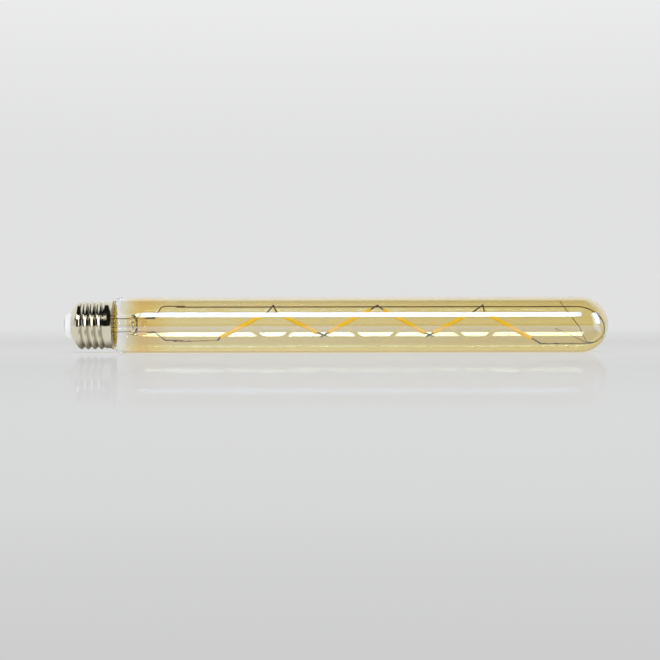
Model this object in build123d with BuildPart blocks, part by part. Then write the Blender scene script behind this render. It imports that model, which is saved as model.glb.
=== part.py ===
"""Tubular amber lamp with six LED filaments and a 27 mm screw cap.

The lamp lies along +X: the cap's contact face is at the origin, the domed end points along +X and
+Z is up. Angles round the lamp's axis run from +Y towards +Z. All sizes are in millimetres.
"""

import os
from math import cos, radians, sin, sqrt

from build123d import *

os.makedirs("parts", exist_ok=True)

# Glass
lamp_length = 293.0
bulb_diameter = 30.0
glass_wall = 0.9
neck_diameter = 22.6
neck_insertion = 11.0
neck_cover = 2.0
glass_shoulder_length = 5.2

# Stem, sealed into the neck
stem_diameter = 10.8
stem_flare_length = 7.0
stem_rim_length = 0.8
stem_length = 28.6
pinch_length = 8.1
pinch_press_length = 3.0
pinch_width = 11.4
pinch_thickness = 4.2
pinch_rounding = 0.7
exhaust_diameter = 3.8
exhaust_bore = 2.4
exhaust_hole_depth = 4.3
exhaust_lip_radius = 0.6
exhaust_tail = 3.2

# Screw cap, from the contact face to the mouth of the shell
contact_height = 0.7
contact_diameter = 8.0
contact_edge_radius = 0.3
contact_shank_diameter = 2.6
contact_shank_length = 6.0
insulator_height = 3.7
insulator_tip_diameter = 12.0
insulator_base_diameter = 14.4
insulator_lip = 0.95
insulator_tip_radius = 0.9
insulator_base_radius = 0.3
insulator_floor = 1.5
insulator_collar_diameter = 16.0
insulator_collar_wall = 1.0
insulator_collar_length = 5.2
shell_wall = 0.3
shell_end_diameter = 16.8
shoulder_length = 3.6
shoulder_radius = 12.0
thread_major_diameter = 26.2
thread_minor_diameter = 24.1
thread_pitch = 3.63
thread_turns = 3.5
thread_run_in = 1.15
thread_run_out = 0.6
collar_length = 1.5
flare_length = 2.6
flare_diameter = 27.0
cement_length = 7.6

# Driver in the cap
board_thickness = 1.0
rectifier_size = (1.5, 3.8, 3.2)
rectifier_place = (-2.9, -3.2)
chip_size = (1.4, 3.9, 3.0)
chip_place = (-2.9, 3.2)
chip_edge = 0.3
resistor_diameter = 1.8
resistor_length = 4.6
resistor_place = 4.6
capacitor_diameter = 5.0
capacitor_height = 4.0
capacitor_edge_radius = 0.5
capacitor_place = (4.9, 0)
supply_wire_diameter = 0.6
neutral_place = 6.2
neutral_turns = 1.25
neutral_bend = 0.9

# Wire frame
lead_spacing = 7.0
lead_diameter = 0.5
lead_stub = 4.6
jumper_diameter = 0.6
upper_jumper_rise = 2.5
lower_jumper_rise = 5.8
jumper_run = 4.6
jumper_tight_bend = 1.2
jumper_wide_bend = 3.5
weld_lap = 5.0
feed_diameter = 0.6
feed_angle = 246.0
feed_standoff = 4.6
return_diameter = 0.7
frame_angle = 50.5
frame_standoff = 1.2
nose_standoff = 0.9
nose_drop = 1.0
leg_diameter = 0.4
leg_foot = 1.6
leg_bend = 0.6
leg_root_shift = 0.9
leg_bow_share = 0.37
leg_bow_radius = 4.0
upper_leg_reach = 14.0
upper_leg_angle = 121.0
upper_leg_bow = 1.5
side_leg_reach = 13.4
side_leg_angle = 351.0
side_leg_bow = 0.4

# Filament string: joins zigzag between the back of the tube's top and its front
filament_count = 6
filament_diameter = 2.2
filament_end_radius = 0.3
tab_width = 0.7
tab_thickness = 0.25
tab_root = 0.6
tab_overrun = 0.5
crossing_overrun = 2.2
string_lead = 34.2
string_tail = 38.0
start_join_standoff = 5.5
start_join_angle = 250.0
apex_join_standoff = 1.8
apex_join_angle = 60.0
lower_join_standoff = 4.3
lower_join_angle = 213.0
apex_end_angle = 47.0
lower_end_angle = 209.0
first_end_angle = 254.0
last_end_angle = 243.0

# For each join in turn: its shift from even spacing, the room it leaves before and after it to the
# phosphor, and how far those phosphor ends lie in from the glass
join_shifts = (0.0, 0.6, -0.6, -0.1, -1.4, -0.2, 0.0)
room_before = (0.0, 3.6, 3.3, 4.0, 2.3, 5.9, 3.7)
room_after = (0.9, 2.1, 2.2, 3.5, 1.7, 1.1, 0.0)
end_standoffs = (6.9, 5.4, 5.5, 3.0, 4.9, 5.2, 5.5)

# Clearance between pieces that seat on each other
fit_gap = 0.02

# Places along the lamp that follow from the sizes
shell_end_x = contact_height + insulator_height
thread_start_x = shell_end_x + shoulder_length
helix_start_x = thread_start_x + thread_run_in
helix_end_x = helix_start_x + thread_turns * thread_pitch
collar_x = helix_end_x + thread_run_out
flare_x = collar_x + collar_length
mouth_x = flare_x + flare_length
neck_end_x = mouth_x - neck_insertion
glass_shoulder_x = mouth_x - neck_cover
tube_x = glass_shoulder_x + glass_shoulder_length
bulb_radius = bulb_diameter / 2
neck_radius = neck_diameter / 2
dome_x = lamp_length - bulb_radius
inner_radius = bulb_radius - glass_wall
pinch_end_x = neck_end_x + stem_length
pinch_x = pinch_end_x - pinch_length
shell_radius = (thread_major_diameter + thread_minor_diameter) / 4
thread_throw = (thread_major_diameter - thread_minor_diameter) / 4
shell_end_inside_x = shell_end_x + shell_wall
insulator_groove_radius = insulator_base_diameter / 2 - insulator_lip
collar_end_x = shell_end_inside_x + insulator_collar_length
board_back_x = collar_end_x + board_thickness
lead_height = lead_spacing / 2
lead_end_x = pinch_end_x + lead_stub
lower_jumper_x = lead_end_x + lower_jumper_rise
return_start_x = lower_jumper_x + jumper_run
jumper_end_x = return_start_x + weld_lap
frame_radius = inner_radius - frame_standoff
nose_x = lamp_length - glass_wall - nose_standoff
upper_bend = frame_radius + nose_drop
lower_bend = frame_radius - nose_drop
lower_turn_x = nose_x - lower_bend
leg_root_x = lower_turn_x + leg_root_shift
string_start_x = lead_end_x + string_lead
string_end_x = lamp_length - string_tail
join_pitch = (string_end_x - string_start_x) / filament_count


def round_axis(x, radius, angle):
    """Point at x along the lamp, at a radius and an angle round its axis."""
    return Vector(x, radius * cos(radians(angle)), radius * sin(radians(angle)))


def inside_glass(x, standoff, angle):
    """Point at x along the lamp, a standoff in from the glass, at an angle round its axis."""
    return round_axis(x, inner_radius - standoff, angle)


def bent_wire(points, bend_radii, diameter):
    """Round wire along straight runs joined by tangent arcs, with a radius for each bend."""
    with BuildPart() as wire:
        with BuildLine() as route:
            FilletPolyline(*points, radius=bend_radii)
        with BuildSketch(Plane(origin=route.line @ 0, z_dir=route.line % 0)):
            Circle(diameter / 2)
        sweep(path=route.line)
    return wire.part


# Glass envelope: neck, shoulder of two equal arcs, tube and domed end, blown to one wall
with BuildPart() as glass_envelope:
    with BuildSketch(Plane.XY):
        with BuildLine():
            neck = Line((neck_end_x, neck_radius), (glass_shoulder_x, neck_radius))
            shoulder_middle = (
                glass_shoulder_x + glass_shoulder_length / 2,
                (neck_radius + bulb_radius) / 2,
            )
            hollow = TangentArc(neck @ 1, shoulder_middle, tangent=neck % 1)
            crown = TangentArc(hollow @ 1, (tube_x, bulb_radius), tangent=hollow % 1)
            tube = Line(crown @ 1, (dome_x, bulb_radius))
            dome = TangentArc(tube @ 1, (lamp_length, 0), tangent=tube % 1)
            Polyline(dome @ 1, (neck_end_x, 0), neck @ 0)
        make_face()
    revolve(axis=Axis.X)
    offset(amount=-glass_wall, openings=glass_envelope.faces().sort_by(Axis.X)[0])
glass_envelope.part.label = "glass_envelope"
export_step(glass_envelope.part, "parts/glass_envelope.step")

# Stem: flare sealed in the neck, tube, and the pinch that is pressed flat round the lead-ins
flare_radius = neck_radius - glass_wall - fit_gap
stem_radius = stem_diameter / 2
stem_tube_x = neck_end_x + stem_rim_length + stem_flare_length
pressed_x = pinch_x + pinch_press_length
exhaust_hole_x = pinch_x + exhaust_hole_depth
pinch_tightest_curve = pinch_thickness**2 / (2 * pinch_width)
with BuildPart() as glass_stem:
    with BuildSketch(Plane.XY):
        with BuildLine():
            rim = Line(
                (neck_end_x, flare_radius),
                (neck_end_x + stem_rim_length, flare_radius),
            )
            stem_wall_line = Line((pinch_x, stem_radius), (stem_tube_x, stem_radius))
            TangentArc(stem_wall_line @ 1, rim @ 1, tangent=stem_wall_line % 1)
            Line(stem_wall_line @ 0, (pinch_x, stem_radius - glass_wall))
            bore_line = Line(
                (pinch_x, stem_radius - glass_wall),
                (stem_tube_x, stem_radius - glass_wall),
            )
            flare_inside = (neck_end_x, flare_radius - glass_wall)
            TangentArc(bore_line @ 1, flare_inside, tangent=bore_line % 1)
            Line(flare_inside, rim @ 0)
        make_face()
    revolve(axis=Axis.X)
    with BuildSketch(Plane.YZ.offset(pinch_x)):
        Circle(stem_radius)
    with BuildSketch(Plane.YZ.offset(pressed_x)):
        Ellipse(pinch_thickness / 2, pinch_width / 2)
    loft()
    with BuildSketch(Plane.YZ.offset(pressed_x)):
        Ellipse(pinch_thickness / 2, pinch_width / 2)
    extrude(amount=pinch_end_x - pressed_x)
    pinch_rim = glass_stem.faces().sort_by(Axis.X)[-1].edges()
    fillet(pinch_rim, pinch_rounding * pinch_tightest_curve)
    with Locations((exhaust_hole_x, -pinch_thickness / 2, 0)):
        Torus((exhaust_bore + exhaust_lip_radius) / 2, exhaust_lip_radius, rotation=(90, 0, 0))
    with BuildSketch(Plane.YZ.offset(pinch_x)):
        with Locations((0, lead_height), (0, -lead_height)):
            Circle(lead_diameter / 2 + fit_gap)
    extrude(amount=pinch_length, mode=Mode.SUBTRACT)
    with BuildSketch(Plane.YZ.offset(pinch_x)):
        Circle(exhaust_bore / 2)
    extrude(amount=exhaust_hole_depth, mode=Mode.SUBTRACT)
    with BuildSketch(Plane.XZ):
        with Locations((exhaust_hole_x, 0)):
            Circle(exhaust_bore / 2)
    extrude(amount=stem_diameter, mode=Mode.SUBTRACT)
glass_stem.part.label = "glass_stem"
export_step(glass_stem.part, "parts/glass_stem.step")

# Exhaust tube: seated on the pinch, drawn off to a rounded tip behind the board
exhaust_tip_x = neck_end_x - exhaust_tail
exhaust_radius = exhaust_diameter / 2
with BuildPart() as exhaust_tube:
    with BuildSketch(Plane.XY):
        with BuildLine():
            tip = JernArc((exhaust_tip_x, 0), (0, 1), exhaust_radius, -90)
            Polyline(
                tip @ 1,
                (pinch_x, exhaust_radius),
                (pinch_x, exhaust_bore / 2),
                (tip @ 1 + Vector(exhaust_radius, exhaust_bore / 2 - exhaust_radius)),
                ((tip @ 1).X + exhaust_radius, 0),
                tip @ 0,
            )
        make_face()
    revolve(axis=Axis.X)
exhaust_tube.part.label = "exhaust_tube"
export_step(exhaust_tube.part, "parts/exhaust_tube.step")


def shell_ring(centre):
    """Cut through the shell: a ring of its sheet, off the lamp's axis where the thread runs."""
    with BuildSketch(Plane.YZ.offset(centre.X)) as ring:
        with Locations((centre.Y, centre.Z)):
            Circle(shell_radius)
            Circle(shell_radius - shell_wall, mode=Mode.SUBTRACT)
    return ring.sketch


# Screw shell: one rolled sheet. The thread is the ring of the sheet carried round a small helix
# without turning, which gives a round thread of even wall, and it runs out into plain rings.
with BuildLine() as roll:
    from_top = Helix(
        thread_pitch,
        thread_turns * thread_pitch,
        thread_throw,
        center=(helix_start_x, 0, 0),
        direction=(1, 0, 0),
        mode=Mode.PRIVATE,
    )
    add(Rot(X=180) * from_top)
with BuildPart() as screw_shell:
    sweep(shell_ring(roll.line @ 0), path=roll.line, normal=(1, 0, 0))
    loft((shell_ring(Vector(thread_start_x, 0, 0)), shell_ring(roll.line @ 0)))
    loft((shell_ring(roll.line @ 1), shell_ring(Vector(collar_x, 0, 0))))
    with BuildSketch(Plane.XY):
        with BuildLine():
            end_face = Line(
                (shell_end_x, insulator_groove_radius + fit_gap),
                (shell_end_x, shell_end_diameter / 2),
            )
            shoulder = RadiusArc(end_face @ 1, (thread_start_x, shell_radius), shoulder_radius)
            inside_corner = (shell_end_inside_x, shell_end_diameter / 2 - shell_wall / 2)
            inside_end = (thread_start_x, shell_radius - shell_wall)
            Line(shoulder @ 1, inside_end)
            RadiusArc(inside_end, inside_corner, -shoulder_radius)
            Polyline(inside_corner, (shell_end_inside_x, (end_face @ 0).Y), end_face @ 0)
        make_face()
    revolve(axis=Axis.X)
    with BuildSketch(Plane.XY):
        with BuildLine():
            collar = Line((collar_x, shell_radius), (flare_x, shell_radius))
            flare = TangentArc(collar @ 1, (mouth_x, flare_diameter / 2), tangent=collar % 1)
            collar_inside = Line(
                (collar_x, shell_radius - shell_wall),
                (flare_x, shell_radius - shell_wall),
            )
            flare_lip = (mouth_x, flare_diameter / 2 - shell_wall)
            TangentArc(collar_inside @ 1, flare_lip, tangent=collar_inside % 1)
            Line(flare @ 1, flare_lip)
            Line(collar @ 0, collar_inside @ 0)
        make_face()
    revolve(axis=Axis.X)
screw_shell.part.label = "screw_shell"
export_step(screw_shell.part, "parts/screw_shell.step")

# Insulator: white cone outside the shell, a groove for the shell's edge, and a collar for the board
collar_radius = insulator_collar_diameter / 2
shank_bore = contact_shank_diameter / 2 + fit_gap
with BuildPart() as cap_insulator:
    with BuildSketch(Plane.XY):
        with BuildLine():
            Polyline(
                (contact_height, shank_bore),
                (contact_height, insulator_tip_diameter / 2),
                (shell_end_x - fit_gap, insulator_base_diameter / 2),
                (shell_end_x - fit_gap, insulator_groove_radius),
                (shell_end_inside_x + fit_gap, insulator_groove_radius),
                (shell_end_inside_x + fit_gap, collar_radius),
                (collar_end_x, collar_radius),
                (collar_end_x, collar_radius - insulator_collar_wall),
                (shell_end_inside_x + insulator_floor, collar_radius - insulator_collar_wall),
                (shell_end_inside_x + insulator_floor, shank_bore),
                close=True,
            )
        make_face()
    revolve(axis=Axis.X)
    rims = cap_insulator.edges().filter_by(GeomType.CIRCLE).group_by(Axis.X)
    fillet(rims[0].sort_by(SortBy.RADIUS)[-1], insulator_tip_radius)
    fillet(rims[1].sort_by(SortBy.RADIUS)[-1], insulator_base_radius)
cap_insulator.part.label = "cap_insulator"
export_step(cap_insulator.part, "parts/cap_insulator.step")

# Centre contact: flat button and a hollow shank that grips the live wire
shank_end_x = contact_height + contact_shank_length
with BuildPart() as contact_button:
    with BuildSketch(Plane.YZ):
        Circle(contact_diameter / 2)
    extrude(amount=contact_height)
    fillet(contact_button.edges().sort_by(Axis.X)[0], contact_edge_radius)
    with BuildSketch(Plane.YZ.offset(contact_height)):
        Circle(contact_shank_diameter / 2)
    extrude(amount=contact_shank_length)
    with BuildSketch(Plane.YZ.offset(contact_height)):
        Circle(supply_wire_diameter / 2 + fit_gap)
    extrude(amount=contact_shank_length, mode=Mode.SUBTRACT)
contact_button.part.label = "contact_button"
export_step(contact_button.part, "parts/contact_button.step")

# Cement: fills the space between the neck and the shell, under the thread and under the collar
with BuildPart() as cap_cement:
    with BuildSketch(Plane.XY):
        with BuildLine():
            cement_inside = neck_radius + fit_gap
            under_thread = thread_minor_diameter / 2 - shell_wall - fit_gap
            under_collar = shell_radius - shell_wall - fit_gap
            Polyline(
                (glass_shoulder_x - cement_length, cement_inside),
                (glass_shoulder_x - cement_length, under_thread),
                (collar_x, under_thread),
                (collar_x, under_collar),
                (glass_shoulder_x, under_collar),
                (glass_shoulder_x, cement_inside),
                close=True,
            )
        make_face()
    revolve(axis=Axis.X)
cap_cement.part.label = "cap_cement"
export_step(cap_cement.part, "parts/cap_cement.step")

# Driver board: a round board on the insulator's collar, drilled for the four wires
with BuildPart() as driver_board:
    with BuildSketch(Plane.YZ.offset(collar_end_x)):
        Circle(collar_radius)
        with Locations((0, lead_height), (0, -lead_height)):
            Circle(lead_diameter / 2 + fit_gap, mode=Mode.SUBTRACT)
        with Locations((0, 0), (-neutral_place, 0)):
            Circle(supply_wire_diameter / 2 + fit_gap, mode=Mode.SUBTRACT)
    extrude(amount=board_thickness)
driver_board.part.label = "driver_board"
export_step(driver_board.part, "parts/driver_board.step")


def board_package(place, size):
    """Moulded package on the board's front, with its long edges bevelled."""
    with BuildPart() as package:
        with BuildSketch(Plane.YZ.offset(collar_end_x)):
            with Locations(place):
                Rectangle(size[1], size[2])
        extrude(amount=-size[0])
        chamfer(package.faces().sort_by(Axis.X)[0].edges(), chip_edge)
    return package.part


bridge_rectifier = board_package(rectifier_place, rectifier_size)
bridge_rectifier.label = "bridge_rectifier"
export_step(bridge_rectifier, "parts/bridge_rectifier.step")

driver_chip = board_package(chip_place, chip_size)
driver_chip.label = "driver_chip"
export_step(driver_chip, "parts/driver_chip.step")

# Fuse resistor: a round body lying on the board's front
with BuildPart() as fuse_resistor:
    with BuildSketch(Plane.XY.offset(-resistor_length / 2)):
        with Locations((collar_end_x - resistor_diameter / 2 - fit_gap, resistor_place)):
            Circle(resistor_diameter / 2)
    extrude(amount=resistor_length)
fuse_resistor.part.label = "fuse_resistor"
export_step(fuse_resistor.part, "parts/fuse_resistor.step")

# Smoothing capacitor: a can standing on the board's back
with BuildPart() as smoothing_capacitor:
    with BuildSketch(Plane.YZ.offset(board_back_x)):
        with Locations(capacitor_place):
            Circle(capacitor_diameter / 2)
    extrude(amount=capacitor_height)
    fillet(smoothing_capacitor.edges().sort_by(Axis.X)[-1], capacitor_edge_radius)
smoothing_capacitor.part.label = "smoothing_capacitor"
export_step(smoothing_capacitor.part, "parts/smoothing_capacitor.step")

# Live wire: straight from the contact's shank through the board
with BuildPart() as live_wire:
    with BuildSketch(Plane.YZ.offset(contact_height)):
        Circle(supply_wire_diameter / 2)
    extrude(amount=board_back_x + supply_wire_diameter - contact_height)
live_wire.part.label = "live_wire"
export_step(live_wire.part, "parts/live_wire.step")

# Neutral wire: from the board out to the shell, where the thread comes nearest to the axis
neutral_x = helix_start_x + neutral_turns * thread_pitch
neutral_wire = bent_wire(
    (
        (collar_end_x - supply_wire_diameter, -neutral_place, 0),
        (neutral_x, -neutral_place, 0),
        (neutral_x, -under_thread, 0),
    ),
    [neutral_bend],
    supply_wire_diameter,
)
neutral_wire.label = "neutral_wire"
export_step(neutral_wire, "parts/neutral_wire.step")

# Lead-ins: straight wires from the board through the pinch
for lead_name, side in (("lead_in_upper", 1), ("lead_in_lower", -1)):
    with BuildPart() as lead_in:
        with BuildSketch(Plane.YZ.offset(collar_end_x - lead_diameter)):
            with Locations((0, side * lead_height)):
                Circle(lead_diameter / 2)
        extrude(amount=lead_end_x - collar_end_x + lead_diameter)
    lead_in.part.label = lead_name
    export_step(lead_in.part, f"parts/{lead_name}.step")

# Jumpers: welded beside the lead-ins, then bent out towards the glass
jumper_height = lead_height + (lead_diameter + jumper_diameter) / 2 + fit_gap
jumper_start_x = pinch_end_x + fit_gap
upper_jumper_x = lead_end_x + upper_jumper_rise
return_lap_radius = frame_radius + (return_diameter + jumper_diameter) / 2 + fit_gap
feed_radius = inner_radius - feed_standoff
feed_lap_radius = feed_radius - (feed_diameter + jumper_diameter) / 2 - fit_gap
for jumper_name, side, outer_x, outer_bend, outer_radius, outer_angle in (
    ("jumper_upper", 1, upper_jumper_x, jumper_wide_bend, return_lap_radius, frame_angle),
    ("jumper_lower", -1, lower_jumper_x, jumper_tight_bend, feed_lap_radius, feed_angle),
):
    jumper = bent_wire(
        (
            (jumper_start_x, 0, side * jumper_height),
            (lead_end_x, 0, side * jumper_height),
            round_axis(outer_x, outer_radius, outer_angle),
            round_axis(jumper_end_x, outer_radius, outer_angle),
        ),
        [jumper_tight_bend, outer_bend],
        jumper_diameter,
    )
    jumper.label = jumper_name
    export_step(jumper, f"parts/{jumper_name}.step")

# Return wire: along the back of the top, round the dome and back along the front of the bottom
end_join_x = string_end_x + join_shifts[-1]
frame_plane = Plane(
    origin=(0, 0, 0),
    x_dir=(1, 0, 0),
    z_dir=Vector(1, 0, 0).cross(round_axis(0, 1, frame_angle)),
)
with BuildPart() as return_wire:
    with BuildLine(frame_plane) as frame_route:
        top_run = Line((return_start_x, frame_radius), (nose_x - upper_bend, frame_radius))
        upper_turn = TangentArc(top_run @ 1, (nose_x, -nose_drop), tangent=top_run % 1)
        lower_turn = TangentArc(upper_turn @ 1, (lower_turn_x, -frame_radius), tangent=upper_turn % 1)
        Line(lower_turn @ 1, (end_join_x - tab_overrun, -frame_radius))
    with BuildSketch(Plane(origin=frame_route.line @ 0, z_dir=(1, 0, 0))):
        Circle(return_diameter / 2)
    sweep(path=frame_route.line)
return_wire.part.label = "return_wire"
export_step(return_wire.part, "parts/return_wire.step")


def on_lower_turn(x):
    """Point at x on the return wire's lower turn."""
    depth = nose_drop + sqrt(lower_bend**2 - (x - lower_turn_x) ** 2)
    return round_axis(x, -depth, frame_angle)


# Brace legs: each has a foot welded beside the return wire and bows out to touch the glass
leg_root = on_lower_turn(leg_root_x)
leg_toe = on_lower_turn(leg_root_x + leg_foot)
turn_bulge = leg_foot**2 / (8 * lower_bend)
leg_weld = (return_diameter + leg_diameter) / 2 + turn_bulge + fit_gap
for leg_name, reach, angle, bow in (
    ("brace_leg_upper", upper_leg_reach, upper_leg_angle, upper_leg_bow),
    ("brace_leg_side", side_leg_reach, side_leg_angle, side_leg_bow),
):
    tip = inside_glass(leg_root_x - reach, leg_diameter / 2 + fit_gap, angle)
    across = Vector(0, tip.Y - leg_root.Y, tip.Z - leg_root.Z).normalized()
    beside = across * leg_weld
    foot = leg_root + beside
    bowed = foot + (tip - foot) * leg_bow_share + Vector(bow, 0, 0)
    leg = bent_wire((leg_toe + beside, foot, bowed, tip), [leg_bend, leg_bow_radius], leg_diameter)
    leg.label = leg_name
    export_step(leg, f"parts/{leg_name}.step")

# Joins of the filament string, the last on the return wire, and the phosphor ends beside each
pair_count = filament_count // 2
join_standoffs = [start_join_standoff] + [apex_join_standoff, lower_join_standoff] * pair_count
join_standoffs[-1] = frame_standoff
join_angles = [start_join_angle] + [apex_join_angle, lower_join_angle] * pair_count
join_angles[-1] = frame_angle + 180
end_angles = [first_end_angle] + [apex_end_angle, lower_end_angle] * pair_count
end_angles[-1] = last_end_angle
joins = []
ends_before = []
ends_after = []
for k in range(filament_count + 1):
    join_x = string_start_x + k * join_pitch + join_shifts[k]
    joins.append(inside_glass(join_x, join_standoffs[k], join_angles[k]))
    ends_before.append(inside_glass(join_x - room_before[k], end_standoffs[k], end_angles[k]))
    ends_after.append(inside_glass(join_x + room_after[k], end_standoffs[k], end_angles[k]))

# Feed wire: from the lower jumper to the first join
feed_wire = bent_wire(
    (
        round_axis(return_start_x, feed_radius, feed_angle),
        round_axis(jumper_end_x, feed_radius, feed_angle),
        joins[0] + Vector(tab_overrun, 0, 0),
    ),
    [weld_lap],
    feed_diameter,
)
feed_wire.label = "feed_wire"
export_step(feed_wire, "parts/feed_wire.step")


def end_tab(phosphor_end, join, normal, lift, overrun):
    """Flat strip from inside a phosphor end to past its join, lifted off the join's own plane."""
    along = (join - phosphor_end).normalized()
    root = phosphor_end - along * tab_root + normal * lift
    strip_length = (join - phosphor_end).length + tab_root + overrun
    with BuildPart() as tab:
        with BuildSketch(Plane(origin=root, x_dir=along, z_dir=normal)):
            Rectangle(strip_length, tab_width, align=(Align.MIN, Align.CENTER))
        extrude(amount=tab_thickness / 2, both=True)
    return tab.part


# Filaments: a phosphor rod with a metal tab let into each end. At a join the two tabs lie flat on
# each other, and the first and last tab lie on their wires.
strip_lift = (tab_thickness + fit_gap) / 2
first_lift = (tab_thickness + feed_diameter) / 2 + fit_gap
last_lift = (tab_thickness + return_diameter) / 2 + fit_gap
join_normals = []
for k in range(1, filament_count):
    join_plane = (ends_before[k] - joins[k]).cross(ends_after[k] - joins[k])
    join_normals.append(join_plane.normalized())
feed_end = joins[0] - round_axis(jumper_end_x, feed_radius, feed_angle)
first_normal = feed_end.cross(ends_after[0] - joins[0]).normalized()
last_normal = Vector(1, 0, 0).cross(ends_before[-1] - joins[-1]).normalized()
start_normals = [first_normal] + join_normals
end_normals = join_normals + [last_normal]
start_lifts = [first_lift] + [strip_lift] * (filament_count - 1)
end_lifts = [-strip_lift] * (filament_count - 1) + [last_lift]
overruns = [tab_overrun] + [tab_overrun, crossing_overrun] * pair_count
overruns[-1] = tab_overrun
for k in range(filament_count):
    filament_name = f"filament_{k + 1}"
    start_tab = end_tab(
        ends_after[k], joins[k], start_normals[k], start_lifts[k], overruns[k]
    )
    start_tab.label = f"{filament_name}_start_tab"
    export_step(start_tab, f"parts/{filament_name}_start_tab.step")
    finish_tab = end_tab(
        ends_before[k + 1], joins[k + 1], end_normals[k], end_lifts[k], overruns[k + 1]
    )
    finish_tab.label = f"{filament_name}_end_tab"
    export_step(finish_tab, f"parts/{filament_name}_end_tab.step")
    rod_vector = ends_before[k + 1] - ends_after[k]
    with BuildPart() as filament:
        with BuildSketch(Plane(origin=ends_after[k], z_dir=rod_vector)):
            Circle(filament_diameter / 2)
        extrude(amount=rod_vector.length)
        fillet(filament.edges().filter_by(GeomType.CIRCLE), filament_end_radius)
        add([start_tab, finish_tab], mode=Mode.SUBTRACT)
    filament.part.label = filament_name
    export_step(filament.part, f"parts/{filament_name}.step")
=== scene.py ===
"""Looks and studio of the tubular amber lamp, laid out as a Blender add-on and run as a script.

The lamp lies along +X with the cap's contact face at the origin and +Z up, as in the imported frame.
Every length is in metres.
"""

from math import atan, cos, pi, radians, sin

import bpy
import numpy as np
from bpy.props import FloatProperty, FloatVectorProperty, IntProperty, PointerProperty
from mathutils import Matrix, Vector


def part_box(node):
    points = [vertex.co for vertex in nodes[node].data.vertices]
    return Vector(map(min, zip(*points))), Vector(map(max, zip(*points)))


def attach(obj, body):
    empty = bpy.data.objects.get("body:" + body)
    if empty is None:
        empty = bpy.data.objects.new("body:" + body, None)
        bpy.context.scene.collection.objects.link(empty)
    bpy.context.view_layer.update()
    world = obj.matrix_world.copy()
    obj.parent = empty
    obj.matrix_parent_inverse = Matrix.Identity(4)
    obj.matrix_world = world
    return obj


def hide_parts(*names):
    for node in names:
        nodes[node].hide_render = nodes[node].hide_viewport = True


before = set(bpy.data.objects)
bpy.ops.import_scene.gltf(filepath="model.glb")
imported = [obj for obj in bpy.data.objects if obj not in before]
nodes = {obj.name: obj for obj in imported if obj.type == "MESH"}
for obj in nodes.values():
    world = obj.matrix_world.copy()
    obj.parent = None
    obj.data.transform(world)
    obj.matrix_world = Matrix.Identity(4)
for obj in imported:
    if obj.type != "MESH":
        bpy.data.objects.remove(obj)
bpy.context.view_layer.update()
glass_low, glass_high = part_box("glass_envelope")
shell_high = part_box("screw_shell")[1]

bl_info = {
    "name": "Tubular amber lamp",
    "version": (1, 0, 0),
    "blender": (4, 5, 0),
    "location": "View3D > Sidebar > Lamp",
    "description": "Dresses the packed lamp in glass, nickel and phosphor, and lights it",
    "category": "Object",
}


def length(name, description, default):
    """A length property, in metres."""
    return FloatProperty(
        name=name, description=description, default=default, precision=5, unit="LENGTH"
    )


def colour(name, description, default):
    """A colour property, in linear light."""
    return FloatVectorProperty(
        name=name, description=description, default=default, subtype="COLOR", min=0, max=1
    )


def number(name, description, default):
    """A plain number property."""
    return FloatProperty(name=name, description=description, default=default, precision=4)


class LampGlass(bpy.types.PropertyGroup):
    """Blown tube and its amber coat."""

    neck_radius: length("Neck radius", "Outside of the neck, inside the cap", 0.0113)
    wall: length("Wall", "Thickness of the blown glass", 0.0009)
    shoulder_start: length("Shoulder start", "Where the neck begins to widen", 0.024555)
    shoulder_length: length("Shoulder length", "From the neck to the full tube", 0.0052)
    segments: IntProperty(name="Segments", description="Steps round the tube", default=160)
    coat_start: length("Coat start", "Where the amber coat begins", 0.0315)
    coat_full: length("Coat full", "Where the amber coat is whole", 0.0362)
    dense_start: length("Dense start", "Where the coat begins to be denser", 0.0345)
    dense_full: length("Dense full", "Where the coat is densest", 0.0412)
    dense_fades: length("Dense fades", "Where the denser coat begins to thin", 0.0422)
    coat_settled: length("Coat settled", "Where the denser start of the coat ends", 0.0600)
    coat_deepens: length("Coat deepens", "Where the coat begins to deepen towards the dome", 0.0800)
    clear_tint: colour("Clear tint", "Light through one wall of bare glass", (0.99, 0.995, 0.99))
    tube_index: number("Tube index", "Refractive index of the coated tube", 1.47)
    neck_index: number("Neck index", "Refractive index of the neck, which is hardly seen", 1.05)
    neck_body: number("Neck body", "How much of the neck's glass is seen", 0.5)
    stem_index: number("Stem index", "Refractive index of the stem", 1.3)
    amber_tint: colour("Amber tint", "Light through one coated wall", (0.965, 0.915, 0.70))
    dense_tint: colour("Dense tint", "Light through the coat's denser start", (0.957, 0.828, 0.51))
    dome_tint: colour("Dome tint", "Light through the coat near the dome", (0.93, 0.86, 0.58))
    lustre: FloatVectorProperty(
        name="Lustre",
        description="How much more than bare glass the coat sends back, as a colour",
        default=(1.1, 2.0, 4.4),
        subtype="COLOR",
    )


class LampCap(bpy.types.PropertyGroup):
    """Screw shell, insulator, contact and cement."""

    nickel: colour("Nickel", "Plated shell", (0.78, 0.74, 0.58))
    worn: colour("Worn nickel", "Rubbed crests of the thread", (0.86, 0.82, 0.68))
    # Nickel made darker in the grooves of the thread, mottled by noise.
    groove_dark: colour("Groove_dark", "Nickel in the grooves of the thread", (0.30, 0.25, 0.16))
    brass: colour("Brass", "Bare sheet inside the shell", (0.66, 0.50, 0.13))
    thread_start: length("Thread start", "Where the thread begins", 0.0085)
    groove_radius: length("Groove radius", "Radius below which the thread is tarnished", 0.01235)
    crest_radius: length("Crest radius", "Radius at which the thread is rubbed", 0.01285)
    insulator: colour("Insulator", "White moulded insulator", (0.82, 0.83, 0.835))
    solder: colour("Solder", "Tinned centre contact", (0.76, 0.75, 0.72))
    cement: colour("Cement", "Baked cement in the mouth", (0.57, 0.43, 0.12))


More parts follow.
